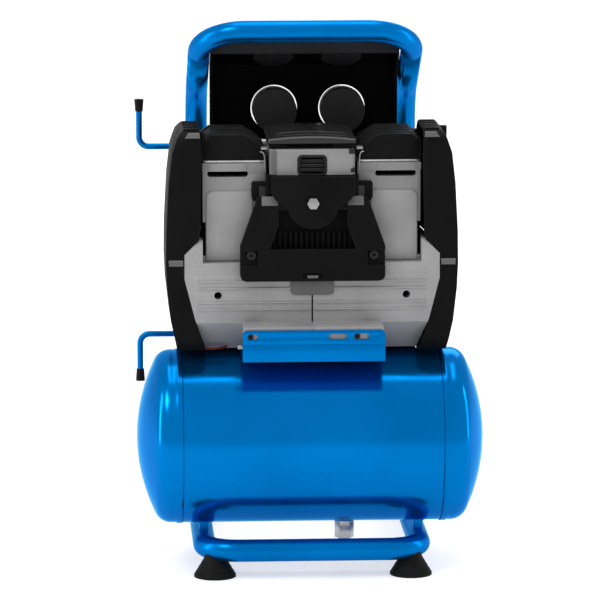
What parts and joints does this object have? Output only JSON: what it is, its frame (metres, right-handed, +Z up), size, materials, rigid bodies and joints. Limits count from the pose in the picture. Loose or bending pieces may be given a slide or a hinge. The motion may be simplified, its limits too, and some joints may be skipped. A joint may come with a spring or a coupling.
{
  "type": "air compressor",
  "caption": "Portable oil-free twin-cylinder air compressor on a horizontal tank, with a tube frame and carry handle, gauges, a pressure regulator and quick couplers.",
  "frame": {"origin": "on the floor, at the middle of the footprint: midway along the tank, and midway between the tank's front and the rear feet", "axes": "+X along the tank, +Y towards the operator's panel, +Z up"},
  "size_m": [0.39, 0.3672, 0.61],
  "materials": {
    "blue_paint": "glossy powder coat",
    "black_plastic": "fine satin texture",
    "black_casting": "black painted casting",
    "grey_casting": "matt grey casting",
    "bare_aluminium": "bare drawn metal",
    "steel": "zinc plated",
    "chrome": "plated",
    "brass": "machined",
    "rubber": "matt",
    "red_plastic": "gloss",
    "white_plastic": "printed dial card",
    "clear_lens": "clear",
    "filter_paper": "pleated paper"
  },
  "bodies": {
    "frame": {"tank_shell": "blue_paint", "tank_head_left": "blue_paint", "tank_head_right": "blue_paint", "tank_ports": "blue_paint", "base_frame": "blue_paint", "frame_uprights": "blue_paint", "handle_frame": "blue_paint", "rubber_feet": "rubber", "cord_hook_upper": "blue_paint", "cord_hook_lower": "blue_paint", "hook_caps": "rubber", "pump_platform": "blue_paint", "guide_bolt": "steel", "mount_screws": "black_casting", "pump_mounts": "rubber", "drain_valve": "steel", "check_valve_body": "brass", "air_pipes": "bare_aluminium", "unloader_pipe": "black_plastic", "pressure_switch": "black_plastic", "cable_gland": "black_plastic", "manifold": "bare_aluminium", "regulator_body": "brass", "gauge_casings": "black_plastic", "gauge_dials": "white_plastic", "gauge_lenses": "clear_lens", "coupler_bodies": "brass", "safety_valve_body": "brass", "control_panel": "black_plastic", "pan_screws": "steel", "motor_housing_left": "grey_casting", "motor_housing_right": "grey_casting", "stator": "steel", "shaft_bearings": "steel", "cylinder_left": "grey_casting", "cylinder_right": "grey_casting", "valve_plates": "steel", "cylinder_head_left": "black_casting", "cylinder_head_right": "black_casting", "head_bolts": "steel", "side_cover_left": "black_plastic", "side_cover_right": "black_plastic", "front_bracket": "black_plastic", "bracket_bosses": "grey_casting", "air_guide": "black_plastic", "intake_plate": "grey_casting", "filter_cover": "black_plastic", "filter_element": "filter_paper"},
    "crank": {"crankshaft": "steel", "rotor": "bare_aluminium", "eccentrics": "steel", "fans": "black_plastic"},
    "left_piston": {"piston_left": "bare_aluminium"},
    "right_piston": {"piston_right": "bare_aluminium"},
    "switch": {"switch_knob": "red_plastic"},
    "regulator": {"regulator_knob": "black_plastic"},
    "drain": {"drain_screw": "steel"},
    "poppet": {"check_valve_poppet": "rubber"},
    "tank_needle": {"gauge_needle_tank": "red_plastic"},
    "outlet_needle": {"gauge_needle_outlet": "red_plastic"},
    "left_sleeve": {"coupler_sleeve_left": "chrome"},
    "right_sleeve": {"coupler_sleeve_right": "chrome"},
    "safety_ring": {"safety_valve_ring": "brass"}
  },
  "joints": [
    {"name": "crank_spin", "type": "hinge", "parent": "frame", "child": "crank", "pos_m": [0, -0.08008, 0.302], "axis": [1, 0, 0], "continuous": true},
    {"name": "left_stroke", "type": "slide", "parent": "frame", "child": "left_piston", "axis": [0, 0, 1], "range_m": [-0.016, 0]},
    {"name": "right_stroke", "type": "slide", "parent": "frame", "child": "right_piston", "axis": [0, 0, 1], "range_m": [0, 0.016]},
    {"name": "switch_pull", "type": "slide", "parent": "frame", "child": "switch", "axis": [0, 1, 0], "range_m": [0, 0.006]},
    {"name": "regulator_turn", "type": "hinge", "parent": "frame", "child": "regulator", "pos_m": [0.005, 0.07492, 0.45], "axis": [0, 1, 0], "range_deg": [0, 720]},
    {"name": "drain_turn", "type": "hinge", "parent": "frame", "child": "drain", "pos_m": [0.039, -0.08508, 0.025], "axis": [0, 0, -1], "range_deg": [0, 360]},
    {"name": "poppet_lift", "type": "slide", "parent": "frame", "child": "poppet", "axis": [0, 0, 1], "range_m": [0, 0.003], "stiffness_N_per_m": 80, "springref_m": -0.002},
    {"name": "tank_needle_turn", "type": "hinge", "parent": "frame", "child": "tank_needle", "pos_m": [-0.0335, 0.05492, 0.4995], "axis": [0, -1, 0], "range_deg": [0, 270], "stiffness_Nm_per_rad": 0.002},
    {"name": "outlet_needle_turn", "type": "hinge", "parent": "frame", "child": "outlet_needle", "pos_m": [0.044, 0.05492, 0.4995], "axis": [0, -1, 0], "range_deg": [0, 270], "stiffness_Nm_per_rad": 0.002},
    {"name": "left_sleeve_pull", "type": "slide", "parent": "frame", "child": "left_sleeve", "axis": [0, -1, 0], "range_m": [0, 0.005], "stiffness_N_per_m": 400},
    {"name": "right_sleeve_pull", "type": "slide", "parent": "frame", "child": "right_sleeve", "axis": [0, -1, 0], "range_m": [0, 0.005], "stiffness_N_per_m": 400},
    {"name": "safety_pull", "type": "slide", "parent": "frame", "child": "safety_ring", "axis": [0, 0, 1], "range_m": [0, 0.003], "stiffness_N_per_m": 400}
  ]
}
